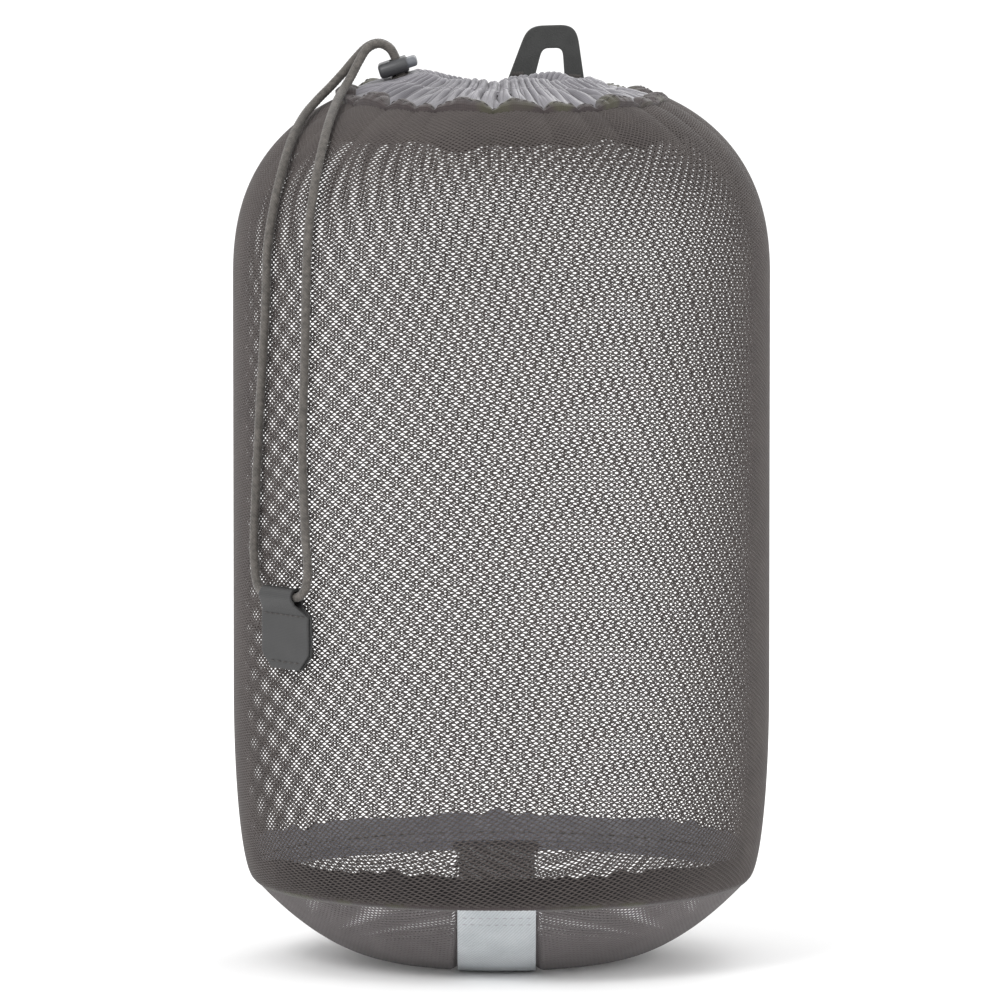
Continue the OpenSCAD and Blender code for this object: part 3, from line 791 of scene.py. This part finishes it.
def ring_stitches(name, r, count, gaps, mat, surface_point):
    """Stitches round the sack on a surface, except between the angles of each gap, in degrees."""
    at = (np.arange(count) + 0.5) / count * TAU
    for low, high in gaps:
        at = at[(np.degrees(at) < low) | (np.degrees(at) > high)]
    radius = np.full_like(at, r)
    here, ahead = surface_point(at, radius), surface_point(at + 0.004, radius)
    normal = np.cross(ahead - here, here - surface_point(at, radius + 0.3))
    normal = np.where(normal[:, 2:] < 0, -normal, normal)
    return stitches(name, here, ahead - here, normal, 1.9, 0.35, mat, sink=-0.1)


channel_stitches = ring_stitches("channel_stitches", 36.2, 84, [(164, 196)], pale_thread, collar_point)
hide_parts("channel_stitching")


# ---- Facing: cloth behind the top of the mesh, turned over its edge in puffed scallops ----
def hem_top(theta):
    """Radius that the scallops reach in to, over the collar's slope."""
    return 53.6 - 5.6 * lobe(theta) + 0.4 * np.sin(31 * theta)


def puff(theta, t):
    """How far the scallops stand out, at a share t of the way from the mesh's edge to their tops."""
    return (0.35 + 1.5 * lobe(theta)) * math.sin(math.pi * min(t * 0.86 + 0.14, 1)) ** 0.7 + 0.3 * (1 - t)


def scallop(theta, t, h):
    """Radius and height of a point h mm out from the collar, at that share of the way."""
    start = WALL_P[-1, 0] + 0.6
    r = start + (hem_top(theta) - start) * t
    under = collar_point(theta, np.minimum(r, COLLAR_EDGE_R))
    beyond = np.maximum(r - COLLAR_EDGE_R, 0)
    return (np.hypot(under[..., 0], under[..., 1]) + beyond + h * math.sin(CONE_A) * 1.4,
            under[..., 2] - beyond * 0.9 + h * math.cos(CONE_A))


theta = np.linspace(0, TAU, 1080, endpoint=False)
facing_rows = []
low_s = np.interp(FACING_LOW_A, np.linspace(0, MESH_TOP_A, HIGH_POINTS), WALL_S[LOW_POINTS:])
for t in np.linspace(0, 1, 16):                            # up the inside of the mesh
    s = low_s + 2.2 * wobble(theta, 2, 5, 23) * (1 - t) + t * (WALL_LEN - low_s - 0.5)
    depth = 1.35 + 0.35 * (1 - t) * (1 + wobble(theta, 6, 12, 40) * 0.8)
    facing_rows.append(wall_point(theta, s, depth))
for t in np.linspace(0.10, 1, 14):                         # over the edge and onto the collar
    ripple = 0.16 * np.sin(97 * theta + 3 * np.sin(7 * theta)) * math.sin(math.pi * t)
    facing_rows.append(polar(theta, *scallop(theta, t, puff(theta, t) + ripple)))
facing = cloth("facing_cloth", np.stack(facing_rows), 0.35, hem_tape, closed=True)
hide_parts("collar_facing")


HEM_R, HEM_T = 52, 0.42                     # nominal radius of the hem's stitches, and their share of the way


def hem_point(theta, r):
    """On the scallops, where the hem's stitches run."""
    rr, z = scallop(theta, HEM_T, puff(theta, HEM_T))
    return polar(theta, rr + (r - HEM_R) * 0.2, z + 0.15)


collar_stitches = ring_stitches("collar_seam_stitches", HEM_R, 130, [(177, 183), (59, 73)], dark_thread,
                                hem_point)
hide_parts("collar_seam_stitching")


# ---- Exit buttonhole: dense stitching round the oval hole ----
def from_lock(x, y, z):
    """Points in mm from the cord lock's own frame."""
    outer = np.multiply.outer
    return LOCK_O + outer(x, LOCK_X) + outer(y, LOCK_Y) + outer(z, LOCK_Z)


def oval_edge(d, straight, round_r):
    """Point and outward direction at length d round an oval with two straight sides."""
    half, d = divmod(d, straight + math.pi * round_r)
    turn = 1 - 2 * half
    if d < straight:
        return (turn * round_r, turn * (d - straight / 2)), (turn, 0)
    a = (d - straight) / round_r
    x, y = turn * math.cos(a), turn * math.sin(a)
    return (round_r * x, turn * straight / 2 + round_r * y), (x, y)


count, sides = 360, 10
run = np.arange(count) / count
straight, round_r = 3.8, 2.45
whole = 2 * straight + TAU * round_r
edge, normal = np.moveaxis(np.array([oval_edge(d, straight, round_r) for d in run * whole]), 1, 0)
rib = 0.10 * np.abs(np.sin(run * math.pi * 60))
ring_rows = []
for a in np.arange(sides) / sides * TAU:
    across = edge + normal * ((0.62 + rib) * math.cos(a))[:, None]
    ring_rows.append(from_lock(across[:, 0], across[:, 1], (0.34 + rib) * math.sin(a) - 3.35))
ring, first = np.arange(count), (sides - 1) * count
seam = np.stack([first + ring, first + (ring + 1) % count, (ring + 1) % count, ring], 1)
buttonhole = make("exit_buttonhole", np.concatenate(ring_rows),
                  np.concatenate([grid_faces(sides, count, True), seam]),
                  dark_thread, uv=np.zeros((4 * sides * count, 2)))
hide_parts("cord_exit_buttonhole")


# ---- Cord lock ----
def stadium(width, height, n=14):
    """Points round an oval bar's section, y and z."""
    a = np.linspace(-math.pi / 2, math.pi / 2, n)
    r = height / 2
    right = np.stack([(width - height) / 2 + r * np.cos(a), r * np.sin(a)], 1)
    return np.concatenate([right, -right])


def oval_bar(name, x0, x1, width, height, soft0, soft1, mat, body):
    """A bar of oval section along the lock, its ends rounded by soft0 and soft1."""
    rows = []
    for x, edge, sign in ((x0, soft0, 1), (x1, soft1, -1)):
        turn = np.linspace(0, math.pi / 2, 5) if edge else [math.pi / 2]
        ends = [(x + sign * edge * (1 - math.cos(v)), edge * (1 - math.sin(v))) for v in turn]
        rows += ends[::sign]
    grid = []
    for x, inset in rows:
        yz = stadium(width - 2 * inset, height - 2 * inset)
        grid.append(from_lock(np.full(len(yz), x), yz[:, 0], yz[:, 1]))
    grid = np.stack(grid)
    n, cols = grid.shape[:2]
    return make(name, grid.reshape(-1, 3), [grid_faces(n, cols, True), end_caps(n, cols)], mat, body)


def box(name, low, high):
    """A cutter in the lock's own frame."""
    x, y, z = np.meshgrid([low[0], high[0]], [low[1], high[1]], [low[2], high[2]], indexing="ij")
    faces = np.array([[0, 1, 3, 2], [4, 6, 7, 5], [0, 4, 5, 1], [2, 3, 7, 6], [0, 2, 6, 4], [1, 5, 7, 3]])
    corners = from_lock(x.ravel(), y.ravel(), z.ravel())
    return make(name, corners, faces, lock_plastic, "cord_lock")


def carve(ob, cutters, bevel):
    """Cuts the cutters out of ob, rounds the new edges, and deletes the cutters."""
    bpy.context.view_layer.update()
    for i, cutter in enumerate(cutters):
        cut = ob.modifiers.new("cut%d" % i, "BOOLEAN")
        cut.operation, cut.object, cut.solver = "DIFFERENCE", cutter, "EXACT"
    add_bevel(ob, bevel, 3, 38)
    apply_modifiers(ob)
    for cutter in cutters:
        mesh = cutter.data
        bpy.data.objects.remove(cutter)
        bpy.data.meshes.remove(mesh)
    ob.data.polygons.foreach_set("use_smooth", np.ones(len(ob.data.polygons), bool))
    ob.data.set_sharp_from_angle(angle=math.radians(50))


barrel = oval_bar("lock_barrel", -6.4, 3.4, 12.4, 5.0, 1.2, 0.25, lock_plastic, "cord_lock")
cavity = oval_bar("cavity", -5.65, 6.0, 10.9, 3.5, 0, 0, lock_plastic, "cord_lock")
carve(barrel, [cavity, box("slot_cut", (-2.1, -3.6, -5), (1.6, 3.6, 5))], 0.22)
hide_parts("cord_lock_barrel")
plunger = oval_bar("lock_plunger", -2.9, 6.7, 10.7, 3.3, 0.15, 0.9, plunger_plastic,
                   "cord_lock_button")
carve(plunger, [box("slot_cut", (-1.8, -3.6, -5), (3.6, 3.6, 5))], 0.18)
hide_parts("cord_lock_plunger")
turns, wire_r, coil_r, coil_foot = 2.2, 0.19, 1.1, -5.65
t = np.linspace(0, turns * TAU, 90)
x = coil_foot + wire_r + np.interp(t, [0, TAU * 0.4, (turns - 0.4) * TAU, turns * TAU], [0, 0.1, 2.27, 2.37])
coil = from_lock(x, coil_r * np.cos(t), coil_r * np.sin(t))
spring = tube("lock_spring", coil, wire_r, wire, "cord_lock", sides=10)
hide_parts("cord_lock_spring")
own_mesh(spring)

# ---- Tab: one strip of coated fabric folded over the cord ----
TAB_O = np.array([-72.6, -58.0, 127.8])
TAB_A = math.radians(51.4)
TAB_X = np.array([math.cos(TAB_A), -math.sin(TAB_A), 0])
TAB_Y = np.array([math.sin(TAB_A), math.cos(TAB_A), 0])
TAB_SHIFT = 3.2                             # the tab's middle, to one side of the cord's bend


def from_tab(x, y, z):
    """Points in mm from the tab's own frame."""
    outer = np.multiply.outer
    return TAB_O + outer(x, TAB_X) + outer(y, TAB_Y) + outer(z, [0, 0, 1.0])


def tab_sides(z):
    """Where the tab's two edges are at that height."""
    heights = [-24, -19, -6, -2.6, 0.5]
    return (np.interp(z, heights, [-4.1, -9.1, -9.1, -8.6, -8.4]),
            np.interp(z, heights, [10.5, 15.5, 15.5, 9.0, 8.2]))


side_profile = [(-0.62, z) for z in np.linspace(-24, -5.2, 26)]
side_profile += [(-0.75, -4.3), (-1.15, -3.4), (-1.7, -2.5)]
side_profile += [(-2.5 * math.sin(a), -2.5 * math.cos(a)) for a in np.radians(np.linspace(52, 180, 14))]
mirror = [(-y, z) for y, z in side_profile[::-1][1:]]
tab_profile = np.array(side_profile + mirror)
part = np.linspace(-1, 1, 31)
tab_rows = []
for k, (y, z) in enumerate(tab_profile):
    left, right = tab_sides(z)
    x = (left + right) / 2 + part * (right - left) / 2
    wave = 0.10 * math.sin(z * 0.55) * np.cos(part * 2.6) * (z < -6)
    tab_rows.append(from_tab(x, y + wave, np.full_like(x, z)))
tab = cloth("tab_cloth", np.stack(tab_rows), 1.0, coated, "cord_tab", bevel=0.2)
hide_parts("cord_tab")
places, out = [], []
for face in (-1, 1):
    for z, count, half in ((-6.0, 8, 9.6), (-21.6, 5, 6.4)):
        for x in np.linspace(TAB_SHIFT - half, TAB_SHIFT + half, count):
            places.append(from_tab(x, face * 1.16, z))
            out.append(TAB_Y * face)
tab_stitches = stitches("tab_stitches", places, np.tile(TAB_X, (len(places), 1)), out, 2.2, 0.42, dark_thread,
                        "cord_tab")
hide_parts("cord_tab_stitching")

# ---- Hang loop: one length of webbing, folded at its top corners ----
outer = np.array([(1.7, 289.3), (6.9, 303.2), (7.8, 305.4), (9.3, 307.3), (11.8, 308.4), (21.4, 308.7),
                  (24.0, 307.8), (25.3, 305.8), (25.9, 303.4), (28.2, 287.3)])
inner = np.array([(10.7, 289.3), (13.0, 298.2), (13.3, 299.2), (13.9, 300.2), (14.9, 300.8), (19.0, 300.9),
                  (19.9, 300.5), (20.4, 299.7), (20.6, 298.7), (21.38, 287.6)])
counts = [34, 4, 4, 4, 14, 4, 4, 4, 38]


def rounded(points):
    """The outline with as many steps on each side as counts says, and its corners rounded."""
    at = np.cumsum([0] + counts)
    line = np.stack([np.interp(np.arange(at[-1] + 1), at, points[:, k]) for k in (0, 1)], 1)
    for _ in range(8):
        line[1:-1] = line[1:-1] * 0.5 + (line[2:] + line[:-2]) * 0.25
    return line


t = np.linspace(0, 1, 13)[None, :, None]
flat = rounded(outer)[:, None] * (1 - t) + rounded(inner)[:, None] * t
x, z = flat[..., 0], flat[..., 1]
corner = (np.exp(-((x - 10.5 - (z - 303) * 0.25) / 1.6) ** 2)
          + np.exp(-((x - 22.6 + (z - 303) * 0.2) / 1.6) ** 2))
y = LOOP_Y + 0.14 * corner * smoothstep(z, 297, 302)
hang_loop = cloth("hang_loop_webbing", np.stack([x, y, z], -1), LOOP_T - 0.1, dark_webbing,
                  None, bevel=0.3)
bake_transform(hang_loop)
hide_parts("hang_loop", "hang_loop_ends")

TACK_TOP, TACK_W, TACKS = 292.5, 4.0, 15
places, along, out = [], [], []
for x0 in (3.4, 22.6):
    for face in (-1, 1):
        for k in range(TACKS):
            x = x0 + (k + 0.5) * TACK_W / TACKS
            low = max(cone_z(math.hypot(x, LOOP_Y)) + 1.0, 289.6)
            places.append((x, LOOP_Y + face * (LOOP_T / 2 - 0.02), (low + TACK_TOP) / 2))
            along.append((0.10 if k % 2 else -0.10, 0, max(TACK_TOP - low, 0.8)))
            out.append((0, face, 0))
bartacks = stitches("hang_loop_bartack_threads", places, along, out, 2.2, 0.34, dark_thread)
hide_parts("hang_loop_bartacks")

# ---- Base strap ----
x = STRAP_X + np.linspace(-STRAP_W / 2 + 0.1, STRAP_W / 2 - 0.1, 19)
strap_rows = []
for t in np.linspace(-1, 1, 150):
    y = t * np.sqrt(STRAP_R ** 2 - x ** 2)
    strap_rows.append(np.stack([x, y, dish_z(np.hypot(x, y)) + STRAP_T / 2], 1))
strap = cloth("base_strap_webbing", np.stack(strap_rows), STRAP_T - 0.05, pale_webbing,
              bevel=0.25)
lit_copy_inside(strap, webbing_painted_light, upward=True)
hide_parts("base_strap")
places, along, out = [], [], []
for end in (-1, 1):
    for back in (2.4, 5.0):
        for x in STRAP_X + np.linspace(-10.5, 10.5, 9):
            y = end * (math.sqrt(STRAP_R ** 2 - x ** 2) - back)
            r = math.hypot(x, y)
            slope = float(dish_z(r + 0.5) - dish_z(r - 0.5))
            places.append((x, y, float(dish_z(r)) - 0.02))
            along.append((1, 0, 0))
            out.append((0, end * slope, -1))
strap_stitches = stitches("base_strap_stitches", places, along, out, 1.9, 0.38, pale_thread)
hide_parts("base_strap_stitching")

# ---- Floor and light ----
floor_corners = 40000.0 * np.array([[-1, -1, 0], [1, -1, 0], [1, 1, 0], [-1, 1, 0]])
floor = make("floor", floor_corners, np.array([[0, 1, 2, 3]]), plain_floor(), None)

world = bpy.data.worlds.new("world")
world.use_nodes = True
world.node_tree.nodes["Background"].inputs["Color"].default_value = (1, 1, 1, 1)
world.node_tree.nodes["Background"].inputs["Strength"].default_value = 1.25
bpy.context.scene.world = world


def soft_light(name, position, aim, size, power):
    data = bpy.data.lights.new(name, "AREA")
    data.shape, data.size, data.energy = "DISK", size, power
    lamp = bpy.data.objects.new(name, data)
    bpy.context.scene.collection.objects.link(lamp)
    lamp.location = position
    lamp.rotation_euler = (Vector(aim) - Vector(position)).to_track_quat("-Z", "Y").to_euler()


soft_light("key", (-1.2, -1.6, 1.9), (0, 0, 0.15), 1.0, 22)
soft_light("fill", (1.6, -1.2, 1.0), (0, 0, 0.15), 1.2, 6)
soft_light("back", (0.6, 1.8, 1.4), (0, 0, 0.2), 1.0, 8)
